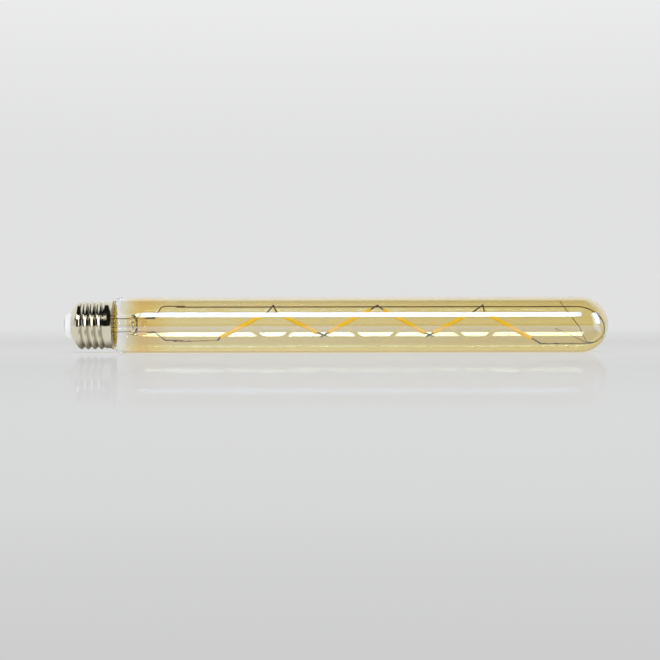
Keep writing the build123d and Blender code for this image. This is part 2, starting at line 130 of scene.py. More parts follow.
class LampString(bpy.types.PropertyGroup):
    """Filaments, their tabs and the wires."""

    phosphor: colour("Phosphor", "Silicone coat with yellow phosphor", (0.68, 0.49, 0.003))
    phosphor_deep: colour("Deep phosphor", "Thicker spots of the coat", (0.64, 0.42, 0.002))
    # Painted glow: the phosphor gives off this yellow under any light, partly for its real
    # fluorescence, partly to lift its shaded side.
    painted_glow: number("Glow", "Daylight that the phosphor gives back as yellow", 0.18)
    wire: colour("Wire", "Drawn nickel wire", (0.16, 0.105, 0.02))
    # Painted light: wire in the lower half of the tube is given this lighter colour.
    painted_lit_wire: colour("Bright wire", "Wire in the lower half of the tube", (0.36, 0.31, 0.16))
    oxide: colour("Oxide", "Darker skin from welding", (0.04, 0.024, 0.005))
    rounding: length("Rounding", "Round of a phosphor rod's ends", 0.0004)
    chips: IntProperty(name="Chips", description="Chips in a row under the phosphor", default=28)
    swell: length("Swell", "Rise of the coat over each chip", 0.00003)
    grain: length("Grain", "Height of the coat's unevenness", 0.00006)
    grain_size: length("Grain size", "Spacing of the coat's unevenness", 0.0012)


class LampStudio(bpy.types.PropertyGroup):
    """Floor, lamps, surroundings and camera."""

    floor: colour("Floor", "Pale glossy floor", (0.612, 0.615, 0.617))
    floor_near: colour("Near floor", "Floor in the camera's own shade", (0.53, 0.53, 0.53))
    floor_far: colour("Far floor", "Floor beside and behind the lamp", (0.70, 0.70, 0.70))
    floor_lit: colour("Lit floor", "Floor that the tube gathers light on", (0.82, 0.785, 0.70))
    floor_bounce: number("Floor bounce", "Light that the floor gives dull surfaces", 1.1)
    floor_mirrored: colour(
        "Mirrored floor", "Floor as metal and glass mirror it", (0.78, 0.78, 0.78)
    )
    floor_shaded: colour(
        "Shaded floor", "Mirrored floor in the edges of the tube's shade", (0.44, 0.44, 0.45)
    )
    floor_amber: colour(
        "Amber floor", "Mirrored floor that the tube lights amber", (0.90, 0.78, 0.42)
    )
    # Painted shade: the mirrored floor is darker where the tube rests.
    floor_contact_shade: colour("Contact", "Mirrored floor where the tube rests", (0.66, 0.58, 0.38))
    floor_under_cap: colour(
        "Floor under cap", "Mirrored floor in the cap's shade", (0.20, 0.19, 0.17)
    )
    floor_even: number("Even floor", "Share of the floor's look that lamps don't change", 0.65)
    floor_mirror: number("Floor mirror", "Share of the floor that mirrors", 0.16)
    floor_depth: length("Floor depth", "Floor behind the lamp", 0.44)
    backdrop_foot: colour(
        "Backdrop foot", "Backdrop where it meets the floor", (0.67, 0.672, 0.675)
    )
    backdrop_low: colour("Low backdrop", "Backdrop at the horizon", (0.75, 0.752, 0.756))
    backdrop_high: colour("High backdrop", "Backdrop at the top", (0.85, 0.852, 0.856))
    dark_room: number("Dark room", "Room in front of the lamp, as metal mirrors it", 0.005)
    glare: number("Glare", "Brightness of the softboxes as glass mirrors them", 3.6)
    side_glare: number("Side glare", "Brightness of the side softbox", 1.7)
    cap_glare: number("Cap glare", "Brightness of the dim softbox on the cap's side", 0.7)
    fill: number("Fill", "Light from all around", 0.62)
    key_power: FloatProperty(
        name="Key power", description="Softbox above the camera", default=4.4, unit="POWER"
    )
    lens: FloatProperty(
        name="Lens", description="Focal length of the camera", default=80.8, unit="CAMERA"
    )
    distance: length("Camera distance", "From the camera to the lamp's axis", 0.80)
    tilt: FloatProperty(
        name="Camera tilt",
        description="How far the camera looks down",
        default=radians(0.35),
        subtype="ANGLE",
    )
    roll: FloatProperty(
        name="Camera roll",
        description="Lean of the picture",
        default=radians(0.09),
        subtype="ANGLE",
    )


class Wired:
    """A socket that takes part in Python sums, adding Math nodes to its tree."""

    def __init__(self, tree, socket):
        self.tree = tree
        self.socket = socket

    def math(self, operation, *values):
        """A Math node's result for up to three values or links."""
        return self.tree.node("ShaderNodeMath", {"operation": operation}, dict(enumerate(values)))

    def __add__(self, other):
        return self.math("ADD", self, other)

    __radd__ = __add__

    def __sub__(self, other):
        return self.math("SUBTRACT", self, other)

    def __rsub__(self, other):
        return self.math("SUBTRACT", other, self)

    def __mul__(self, other):
        return self.math("MULTIPLY", self, other)

    __rmul__ = __mul__

    def __truediv__(self, other):
        return self.math("DIVIDE", self, other)

    def __rtruediv__(self, other):
        return self.math("DIVIDE", other, self)

    def __pow__(self, other):
        return self.math("POWER", self, other)

    def __rpow__(self, other):
        return self.math("POWER", other, self)

    def __abs__(self):
        return self.math("ABSOLUTE", self)

    def below(self, other):
        """The lower of two values."""
        return self.math("MINIMUM", self, other)

    def above(self, other):
        """The higher of two values."""
        return self.math("MAXIMUM", self, other)


class Tree:
    """A node tree under construction, for a material, the world or Geometry Nodes."""

    def __init__(self, tree):
        self.tree = tree

    def make(self, kind, settings=None, sockets=None):
        """A node of a kind, with its settings, then its sockets' values or links."""
        node = self.tree.nodes.new(kind)
        for key, value in (settings or {}).items():
            setattr(node, key, value)
        for key, value in (sockets or {}).items():
            if isinstance(value, Wired):
                self.tree.links.new(value.socket, node.inputs[key])
            else:
                node.inputs[key].default_value = value
        return node

    def node(self, kind, settings=None, sockets=None, output=0):
        """One output of a new node."""
        return Wired(self, self.make(kind, settings, sockets).outputs[output])

    def split(self, vector):
        """The three parts of a vector."""
        made = self.make("ShaderNodeSeparateXYZ", {}, {0: vector})
        return [Wired(self, out) for out in made.outputs]

    def light_path(self, *names):
        """Named facts about the ray that is traced."""
        made = self.make("ShaderNodeLightPath")
        return [Wired(self, made.outputs[name]) for name in names]

    def step(self, value, low, high):
        """0 below low, 1 above high and smooth between."""
        return self.node(
            "ShaderNodeMapRange",
            {"interpolation_type": "SMOOTHSTEP"},
            {"Value": value, "From Min": low, "From Max": high},
        )

    def window(self, value, low, high):
        """1 between two values and 0 outside, with a soft edge."""
        edge = 0.08 * (high - low)
        return self.step(value, low, low + edge) * (1 - self.step(value, high - edge, high))

    def mix(self, share, first, second):
        """Colour between two colours."""
        return self.node(
            "ShaderNodeMix",
            {"data_type": "RGBA"},
            {0: share, 6: rgba(first), 7: rgba(second)},
            output=2,
        )

    def noise(self, vector, scale, detail=2.0):
        """Noise from 0 to 1, about 0.5."""
        return self.node(
            "ShaderNodeTexNoise", {}, {"Vector": vector, "Scale": scale, "Detail": detail}
        )


def rgba(value):
    """A colour with its alpha, where it isn't a link."""
    return value if isinstance(value, Wired) else (*value, 1.0)


def grey(value):
    """A colour of three equal parts."""
    return (value, value, value)


def dimmed(tone, share):
    """A colour at a share of its brightness."""
    return tuple(share * part for part in tone)


class Finish(Tree):
    """A material under construction."""

    def __init__(self, name):
        self.material = bpy.data.materials.new(name)
        self.material.use_nodes = True
        super().__init__(self.material.node_tree)
        self.tree.nodes.clear()
        self.place = self.node("ShaderNodeTexCoord", output=3)
        self.x, self.y, self.z = self.split(self.place)

    def stretched(self, x, y, z):
        """The place on the piece, drawn out along the axes."""
        return self.node("ShaderNodeMapping", {}, {"Vector": self.place, "Scale": (x, y, z)})

    def radius(self):
        """Distance from the lamp's axis."""
        return (self.y * self.y + self.z * self.z) ** 0.5

    def bump(self, height, distance, strength):
        """Normal that follows a height."""
        return self.node(
            "ShaderNodeBump",
            {},
            {"Height": height, "Distance": distance, "Strength": strength},
        )

    def surface(self, **sockets):
        """Principled shader with the given sockets, named with _ for a space."""
        named = {key.replace("_", " "): value for key, value in sockets.items()}
        return self.node("ShaderNodeBsdfPrincipled", {}, named)

    def blend(self, share, first, second):
        """Shader between two shaders."""
        return self.node("ShaderNodeMixShader", {}, {0: share, 1: first, 2: second})

    def done(self, shader):
        """The finished material. What glows is seen, but isn't sampled as a lamp."""
        self.make("ShaderNodeOutputMaterial", {}, {"Surface": shader})
        self.material.cycles.emission_sampling = "NONE"
        return self.material


def lamp_light_passes(finish, glass, tint):
    """Glass that rays from lamps and from dull surfaces pass through, so the inside is lit."""
    shadow, dull = finish.light_path("Is Shadow Ray", "Is Diffuse Ray")
    film = finish.node("ShaderNodeBsdfTransparent", {}, {"Color": rgba(tint)})
    return finish.blend(shadow, finish.blend(dull, glass, film), film)


def amber_glass(look):
    """Clear glass with an amber coat that fades in past the neck and is denser at its start."""
    finish = Finish("amber_glass")
    coat = finish.step(finish.x, look.coat_start, look.coat_full)
    thick = finish.step(finish.x, look.dense_start, look.dense_full)
    dense = thick * (1 - finish.step(finish.x, look.dense_fades, look.coat_settled))
    deeper = finish.step(finish.x, look.coat_deepens, glass_high.x)
    mottle = finish.noise(finish.stretched(0.25, 1, 1), 160.0)
    amber = finish.mix(dense, finish.mix(deeper, look.amber_tint, look.dome_tint), look.dense_tint)
    uneven = finish.mix(mottle * 0.10, amber, look.dense_tint)
    tint = finish.mix(coat, look.clear_tint, uneven)
    glass = finish.surface(
        Base_Color=tint,
        Roughness=0.0,
        IOR=look.tube_index,
        Specular_Tint=rgba(look.lustre),
        Transmission_Weight=1.0,
    )
    return finish.done(lamp_light_passes(finish, glass, look.amber_tint))


def neck_glass(look):
    """Bare glass of the neck and shoulder, with faint draw lines round it."""
    finish = Finish("neck_glass")
    lines = finish.noise(finish.stretched(4, 1, 1), 300.0, 1.0)
    glass = finish.surface(
        Base_Color=rgba(look.clear_tint),
        Roughness=0.0,
        IOR=look.neck_index,
        Transmission_Weight=1.0,
        Alpha=look.neck_body,
        Normal=finish.bump(lines, 0.0001, 0.1),
    )
    return finish.done(lamp_light_passes(finish, glass, look.clear_tint))


def clear_glass(look):
    """Bare stem glass, rippled a little where it was pressed."""
    finish = Finish("clear_glass")
    ripple = finish.noise(finish.place, 260.0, 1.0)
    glass = finish.surface(
        Base_Color=rgba(look.clear_tint),
        Roughness=0.0,
        IOR=look.stem_index,
        Transmission_Weight=1.0,
        Normal=finish.bump(ripple, 0.0003, 0.15),
    )
    return finish.done(lamp_light_passes(finish, glass, look.clear_tint))


def nickel_plate(look):
    """Rolled, plated sheet with fine lines round it, rubbed crests and darker grooves."""
    finish = Finish("nickel_plate")
    radius = finish.radius()
    rolled = finish.noise(finish.stretched(14, 1, 1), 260.0, 3.0)
    clouds = finish.noise(finish.place, 180.0, 3.0)
    edge, run_in = 0.0003, 0.001
    rubbed = finish.step(radius, look.crest_radius, look.crest_radius + edge)
    sunk = 1 - finish.step(radius, look.groove_radius - edge, look.groove_radius)
    threaded = finish.step(finish.x, look.thread_start, look.thread_start + run_in)
    # Below the groove radius the nickel is made darker, mottled by noise.
    grooves_darkened = finish.mix(sunk * threaded * (0.6 + 0.4 * clouds), look.nickel, look.groove_dark)
    plated = finish.mix(rubbed * clouds, grooves_darkened, look.worn)
    facing = finish.split(finish.node("ShaderNodeNewGeometry", output=1))
    outward = (facing[1] * finish.y + facing[2] * finish.z) / radius
    outside = finish.step(outward, -0.2, 0.2)
    tone = finish.mix(outside, look.brass, plated)
    rough = 0.07 + 0.07 * clouds + 0.10 * rubbed * rolled
    plate = finish.surface(
        Base_Color=tone,
        Metallic=0.1 + 0.9 * outside,
        Roughness=rough + 0.3 * (1 - outside),
        Normal=finish.bump(rolled, 0.00001, 0.35),
    )
    return finish.done(plate)


def moulded_white(look):
    """Glossy white moulding with a faint flow pattern."""
    finish = Finish("moulded_white")
    flow = finish.noise(finish.stretched(1, 2, 2), 240.0, 4.0)
    shade = dimmed(look.insulator, 0.93)
    plastic = finish.surface(
        Base_Color=finish.mix(flow, shade, look.insulator),
        Roughness=0.24 + 0.14 * flow,
        Normal=finish.bump(flow, 0.00003, 0.3),
    )
    return finish.done(plastic)


def tinned_contact(look):
    """Tinned contact, scuffed in circles by the holder."""
    finish = Finish("tinned_contact")
    radius = finish.radius()
    rings = finish.node(
        "ShaderNodeTexNoise", {"noise_dimensions": "1D"}, {"W": radius, "Scale": 4200.0}
    )
    clouds = finish.noise(finish.place, 500.0, 4.0)
    dull = dimmed(look.solder, 0.8)
    metal = finish.surface(
        Base_Color=finish.mix(clouds, dull, look.solder),
        Metallic=0.5,
        Roughness=0.35 + 0.25 * rings * clouds,
        Normal=finish.bump(rings, 0.00002, 0.4),
    )
    return finish.done(metal)


def baked_cement(look):
    """Grainy baked cement."""
    finish = Finish("baked_cement")
    grains = finish.node("ShaderNodeTexVoronoi", {}, {"Vector": finish.place, "Scale": 2600.0})
    clouds = finish.noise(finish.place, 700.0, 5.0)
    dark = dimmed(look.cement, 0.55)
    stone = finish.surface(
        Base_Color=finish.mix(clouds, dark, look.cement),
        Roughness=0.7 + 0.2 * clouds,
        Normal=finish.bump(grains, 0.00012, 0.8),
    )
    return finish.done(stone)


def drawn_wire(look):
    """Drawn nickel wire with a patchy oxide skin, painted lighter in the lower half of the tube."""
    finish = Finish("drawn_wire")
    skin = finish.noise(finish.stretched(0.3, 1, 1), 900.0, 4.0)
    lines = finish.noise(finish.stretched(0.05, 6, 6), 1800.0, 2.0)
    # Painted light: below this height the wire takes the lighter colour.
    upper_half = finish.step(finish.z, -0.006, 0.002)
    drawn = finish.mix(upper_half, look.painted_lit_wire, look.wire)
    metal = finish.surface(
        Base_Color=finish.mix(finish.step(skin, 0.4, 0.75), drawn, look.oxide),
        Metallic=1.0,
        Roughness=0.26 + 0.2 * skin,
        Normal=finish.bump(lines, 0.00001, 0.4),
    )
    return finish.done(metal)


def welded_tab(look):
    """Thin punched strip, browned by the weld."""
    finish = Finish("welded_tab")
    brown = finish.noise(finish.place, 1400.0, 3.0)
    metal = finish.surface(
        Base_Color=finish.mix(finish.step(brown, 0.5, 0.8), look.oxide, look.wire),
        Metallic=1.0,
        Roughness=0.35 + 0.25 * brown,
        Normal=finish.bump(brown, 0.00002, 0.5),
    )
    return finish.done(metal)


def phosphor_coat(look):
    """Silicone loaded with phosphor: mottled, matt and a little waxy, with a painted glow."""
    finish = Finish("phosphor_coat")
    mottle = finish.noise(finish.place, 1500.0, 4.0)
    grit = finish.noise(finish.place, 7000.0, 2.0)
    yellow = finish.mix(finish.step(mottle, 0.45, 0.8), look.phosphor, look.phosphor_deep)
    # Painted glow in the phosphor's own colour.
    coat = finish.surface(
        Base_Color=yellow,
        Emission_Color=yellow,
        Emission_Strength=look.painted_glow,
        Roughness=0.45 + 0.2 * mottle,
        Normal=finish.bump(grit, 0.00002, 0.5),
    )
    return finish.done(coat)


def board_lacquer():
    """Green lacquer over copper tracks, with specks of dust in it."""
    finish = Finish("board_lacquer")
    tracks = finish.node(
        "ShaderNodeTexWave", {}, {"Vector": finish.place, "Scale": 320.0, "Distortion": 3.0}
    )
    dust = finish.noise(finish.place, 2500.0, 3.0)
    over_track = finish.step(tracks, 0.55, 0.62)
    lacquer = finish.surface(
        Base_Color=finish.mix(over_track, (0.015, 0.12, 0.05), (0.06, 0.26, 0.10)),
        Roughness=0.25 + 0.2 * dust,
        Normal=finish.bump(over_track, 0.00003, 0.6),
    )
    return finish.done(lacquer)


def black_moulding():
    """Moulded package with a fine eroded grain."""
    finish = Finish("black_moulding")
    grain = finish.noise(finish.place, 6000.0, 3.0)
    plastic = finish.surface(
        Base_Color=finish.mix(grain, (0.012, 0.012, 0.013), (0.03, 0.03, 0.032)),
        Roughness=0.45 + 0.25 * grain,
        Normal=finish.bump(grain, 0.00002, 0.6),
    )
    return finish.done(plastic)


def pressed_can():
    """Drawn aluminium can with lines along its wall."""
    finish = Finish("pressed_can")
    drawn = finish.noise(finish.stretched(0.1, 3, 3), 1500.0, 3.0)
    metal = finish.surface(
        Base_Color=finish.mix(drawn, (0.62, 0.62, 0.63), (0.78, 0.78, 0.79)),
        Metallic=1.0,
        Roughness=0.25 + 0.15 * drawn,
        Normal=finish.bump(drawn, 0.00001, 0.5),
    )
    return finish.done(metal)


def banded_lacquer():
    """Lacquered resistor body with painted rings along its length."""
    finish = Finish("banded_lacquer")
    rings = finish.node(
        "ShaderNodeTexWave",
        {"bands_direction": "Z"},
        {"Vector": finish.place, "Scale": 260.0},
    )
    mottle = finish.noise(finish.place, 2500.0, 3.0)
    painted = finish.step(rings, 0.80, 0.84)
    lacquer = finish.surface(
        Base_Color=finish.mix(painted, (0.20, 0.42, 0.48), (0.10, 0.06, 0.04)),
        Roughness=0.28 + 0.2 * mottle,
        Normal=finish.bump(mottle, 0.00002, 0.3),
    )
    return finish.done(lacquer)


def dress(names, material):
    """Gives CAD nodes a material."""
    for name in names:
        slots = nodes[name].data.materials
        slots.clear()
        slots.append(material)


def mesh_piece(name, mesh, material, slot, *replaced):
    """A finished mesh as a piece that rides on the lamp and stands for CAD nodes."""
    piece = bpy.data.objects.new(name, mesh)
    bpy.context.scene.collection.objects.link(piece)
    mesh.materials.clear()
    mesh.materials.append(material)
    mesh.shade_smooth()
    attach(piece, "root")
    for node in replaced:
        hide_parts(node)


def arc(centre, radius, start, stop, steps):
    """Points (x, r) of an arc about a centre, both ends among them."""
    angles = [start + (stop - start) * k / steps for k in range(steps + 1)]
    return [(centre[0] + radius * cos(a), centre[1] + radius * sin(a)) for a in angles]


def turned_mesh(name, outline, segments):
    """Closed surface that a closed outline of (x, r) points sweeps round the lamp's axis."""
    verts = []
    rings = []
    for x, radius in outline:
        count = segments if radius > 0 else 1
        rings.append(range(len(verts), len(verts) + count))
        for k in range(count):
            angle = 2 * pi * k / segments
            verts.append((x, radius * cos(angle), radius * sin(angle)))
    faces = []
    for ring, after in zip(rings, rings[1:] + rings[:1]):
        for k in range(segments):
            turn = (k, (k + 1) % segments)
            corners = [ring[t % len(ring)] for t in turn]
            corners += [after[t % len(after)] for t in reversed(turn)]
            face = tuple(dict.fromkeys(corners))
            if len(face) > 2:
                faces.append(face)
    mesh = bpy.data.meshes.new(name)
    mesh.from_pydata(verts, [], faces)
    mesh.validate()
    return mesh


class LAMP_OT_glass_tube(bpy.types.Operator):
    """Blow the amber tube: neck, shoulder, tube and dome, of one wall"""

    bl_idname = "lamp.glass_tube"
    bl_label = "Glass tube"

    def wall(self, look, inset):
        """Outline of one face of the wall, from the neck's end to the dome's tip."""
        bend_steps, tube_steps, tip_steps = 20, 24, 48
        radius = glass_high.z
        rise = radius - look.neck_radius
        bend = (look.shoulder_length**2 + rise**2) / (4 * rise)
        sweep = 2 * atan(rise / look.shoulder_length)
        tube_start = look.shoulder_start + look.shoulder_length
        dome = glass_high.x - radius
        hollow_centre = (look.shoulder_start, look.neck_radius + bend)
        hollow = arc(hollow_centre, bend + inset, -pi / 2, sweep - pi / 2, bend_steps)
        crown_centre = (tube_start, radius - bend)
        crown = arc(crown_centre, bend - inset, pi / 2 + sweep, pi / 2, bend_steps)
        tip = arc((dome, 0), radius - inset, pi / 2, 0, tip_steps)
        pace = (dome - tube_start) / tube_steps
        rings = [look.coat_start] + [tube_start + pace * k for k in range(1, tube_steps)]
        tube = [(x, radius - inset) for x in rings]
        return [(glass_low.x, look.neck_radius - inset)] + hollow + crown[1:] + tube + tip[:-1]

    def execute(self, context):
        look = context.scene.lamp_glass
        tip = [(glass_high.x, 0.0), (glass_high.x - look.wall, 0.0)]
        outline = self.wall(look, 0.0) + tip + self.wall(look, look.wall)[::-1]
        mesh = turned_mesh("bulb_glass", outline, look.segments)
        mesh_piece("bulb_glass", mesh, amber_glass(look), "amber_glass", "glass_envelope")
        mesh.materials.append(neck_glass(look))
        for face in mesh.polygons:
            face.material_index = int(face.center.x < look.coat_start)
        return {"FINISHED"}


class LAMP_OT_stem(bpy.types.Operator):
    """Finish the stem and the exhaust tube in clear glass"""

    bl_idname = "lamp.stem"
    bl_label = "Glass stem"

    def execute(self, context):
        dress(["glass_stem", "exhaust_tube"], clear_glass(context.scene.lamp_glass))
        return {"FINISHED"}


class LAMP_OT_cap(bpy.types.Operator):
    """Plate the screw shell and finish the insulator, the contact and the cement"""

    bl_idname = "lamp.cap"
    bl_label = "Screw cap"

    def execute(self, context):
        look = context.scene.lamp_cap
        dress(["screw_shell"], nickel_plate(look))
        dress(["cap_insulator"], moulded_white(look))
        dress(["contact_button"], tinned_contact(look))
        dress(["cap_cement"], baked_cement(look))
        return {"FINISHED"}


class LAMP_OT_driver(bpy.types.Operator):
    """Finish the driver board and the parts on it"""

    bl_idname = "lamp.driver"
    bl_label = "Driver"

    def execute(self, context):
        dress(["driver_board"], board_lacquer())
        dress(["bridge_rectifier", "driver_chip"], black_moulding())
        dress(["smoothing_capacitor"], pressed_can())
        dress(["fuse_resistor"], banded_lacquer())
        return {"FINISHED"}


class LAMP_OT_wires(bpy.types.Operator):
    """Finish the lead-ins, the wire frame, the brace legs and the supply wires"""

    bl_idname = "lamp.wires"
    bl_label = "Wires"

    def execute(self, context):
        kinds = ("wire", "lead_in", "jumper", "brace_leg")
        wires = [name for name in nodes if any(kind in name for kind in kinds)]
        dress(wires, drawn_wire(context.scene.lamp_string))
        return {"FINISHED"}


def phosphor_rod_tree():
    """Geometry Nodes for a rod with round ends, swells over its chips and an uneven coat."""
    steps_along, steps_round = 220, 28
    group = bpy.data.node_groups.new("phosphor_rod", "GeometryNodeTree")
    kinds = {
        "Start": "NodeSocketVector",
        "End": "NodeSocketVector",
        "Radius": "NodeSocketFloat",
        "Rounding": "NodeSocketFloat",
        "Chips": "NodeSocketInt",
        "Swell": "NodeSocketFloat",
        "Grain": "NodeSocketFloat",
        "Grain Size": "NodeSocketFloat",
        "Material": "NodeSocketMaterial",
    }
    for name, kind in kinds.items():
        group.interface.new_socket(name, in_out="INPUT", socket_type=kind)
    group.interface.new_socket("Geometry", in_out="OUTPUT", socket_type="NodeSocketGeometry")
    tree = Tree(group)
    entry = tree.make("NodeGroupInput")
    given = {name: Wired(tree, entry.outputs[name]) for name in kinds}
    start, end = given["Start"], given["End"]
    line = tree.node("GeometryNodeCurvePrimitiveLine", {}, {"Start": start, "End": end})
    line = tree.node("GeometryNodeResampleCurve", {}, {"Curve": line, "Count": steps_along})
    along = tree.node("GeometryNodeSplineParameter")
    run = tree.node("GeometryNodeSplineParameter", output=1)
    whole = tree.node(
        "ShaderNodeVectorMath", {"operation": "DISTANCE"}, {0: start, 1: end}, output=1
    )
    from_end = run.below(whole - run)
    inset = 1 - (from_end / given["Rounding"]).below(1.0)
    round_off = given["Rounding"] * (1 - (1 - inset * inset) ** 0.5)
    phase = along * given["Chips"] * (2 * pi)
    swell = given["Swell"] * phase.math("SINE", phase)
    ring = tree.node(
        "GeometryNodeCurvePrimitiveCircle", {}, {"Resolution": steps_round, "Radius": 1.0}
    )
    rod = tree.node(
        "GeometryNodeCurveToMesh",
        {},
        {
            "Curve": line,
            "Profile Curve": ring,
            "Scale": given["Radius"] - round_off + swell,
            "Fill Caps": True,
        },
    )
    place = tree.node("GeometryNodeInputPosition")
    coat = tree.noise(place, 1 / given["Grain Size"]) - 0.5
    lift = tree.node(
        "ShaderNodeVectorMath",
        {"operation": "SCALE"},
        {0: tree.node("GeometryNodeInputNormal"), "Scale": coat * given["Grain"]},
    )
    rod = tree.node("GeometryNodeSetPosition", {}, {"Geometry": rod, "Offset": lift})
    rod = tree.node("GeometryNodeRealizeInstances", {}, {"Geometry": rod})
    rod = tree.node("GeometryNodeSetMaterial", {}, {"Geometry": rod, "Material": given["Material"]})
    tree.make("NodeGroupOutput", {}, {"Geometry": rod})
    return group


def grown_mesh(name, group, inputs):
    """Plain mesh that a Geometry Nodes group makes from its named inputs."""
    carrier = bpy.data.objects.new(name, bpy.data.meshes.new(name))
    bpy.context.scene.collection.objects.link(carrier)
    modifier = carrier.modifiers.new(name, "NODES")
    modifier.node_group = group
    for item in group.interface.items_tree:
        if item.in_out == "INPUT":
            modifier[item.identifier] = inputs[item.name]
    evaluated = carrier.evaluated_get(bpy.context.evaluated_depsgraph_get())
    mesh = bpy.data.meshes.new_from_object(evaluated)
    carrier.modifiers.remove(modifier)
    bpy.data.objects.remove(carrier)
    return mesh


def rod_ends(name):
    """The two ends of a rod's axis and its radius, from a CAD node's mesh."""
    mesh = nodes[name].data
    points = np.empty(3 * len(mesh.vertices))
    mesh.vertices.foreach_get("co", points)
    points = points.reshape(-1, 3)
    middle = 0.5 * (points.min(axis=0) + points.max(axis=0))
    spread = points - middle
    axis = np.linalg.svd(spread, full_matrices=False)[2][0]
    axis *= np.sign(axis[0])
    reach = spread @ axis
    across = np.linalg.norm(spread - np.outer(reach, axis), axis=1)
    start, end = (Vector(middle + axis * far) for far in (reach.min(), reach.max()))
    return start, end, float(across.max())


class LAMP_OT_filaments(bpy.types.Operator):
    """Grow the phosphor rods and finish their end tabs"""

    bl_idname = "lamp.filaments"
    bl_label = "Filaments"

    def execute(self, context):
        look = context.scene.lamp_string
        coat = phosphor_coat(look)
        group = phosphor_rod_tree()
        rods = [name for name in nodes if name.startswith("filament") and "tab" not in name]
        for name in rods:
            start, end, radius = rod_ends(name)
            inputs = {
                "Start": start,
                "End": end,
                "Radius": radius,
                "Rounding": look.rounding,
                "Chips": look.chips,
                "Swell": look.swell,
                "Grain": look.grain,
                "Grain Size": look.grain_size,
                "Material": coat,
            }
            piece_name = name.replace("filament", "phosphor_rod")
            mesh_piece(piece_name, grown_mesh(piece_name, group, inputs), coat, "phosphor", name)
        dress([name for name in nodes if name.endswith("_tab")], welded_tab(look))
        return {"FINISHED"}


